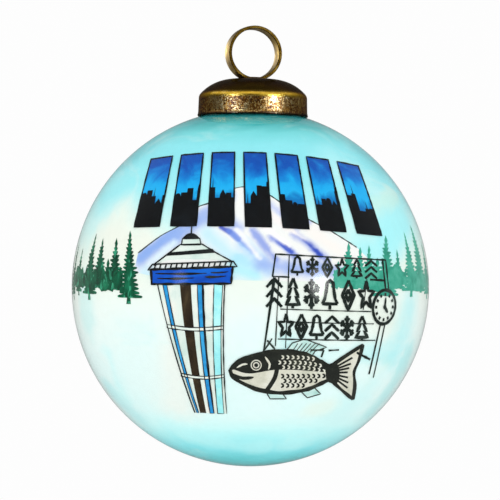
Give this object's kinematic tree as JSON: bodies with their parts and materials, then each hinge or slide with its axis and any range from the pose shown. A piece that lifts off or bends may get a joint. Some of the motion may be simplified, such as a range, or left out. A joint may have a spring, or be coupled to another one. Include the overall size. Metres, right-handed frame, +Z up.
{
  "type": "christmas bauble",
  "caption": "Round glass christmas ball painted on its inside, with an antique-brass cap and a swivelling band ring to hang it by.",
  "frame": {"origin": "the hanging point: the inside top of the ring, where a hook or ribbon bears", "axes": "+Z up along the ball's axis and the swivel's axis; the front of the painting faces -Y; +X is to the right as seen from the front"},
  "size_m": [0.08, 0.08, 0.0988],
  "materials": {
    "ring_brass": "antiqued satin, dark olive patina with golden rubbed edges",
    "rivet_brass": "antiqued satin",
    "washer_brass": "plain mill finish, hidden in the cap",
    "cap_brass": "antiqued, pitted and speckled patina, polished shoulder line",
    "epoxy": "cured epoxy, hidden in the cap",
    "clear_glass": "clear blown glass, glossy",
    "inner_paint": "watercolour-like brushed paint seen through the glass, turquoise sky and white snow"
  },
  "bodies": {
    "hanger": {"hanging_ring": "ring_brass", "swivel_rivet": "rivet_brass", "backing_washer": "washer_brass"},
    "bauble": {"cap_shell": "cap_brass", "adhesive_ring": "epoxy", "glass_ball": "clear_glass", "paint_coat": "inner_paint"}
  },
  "joints": [
    {"name": "swivel", "type": "hinge", "parent": "hanger", "child": "bauble", "pos_m": [0, 0, -0.01162], "axis": [0, 0, 1], "continuous": true}
  ]
}
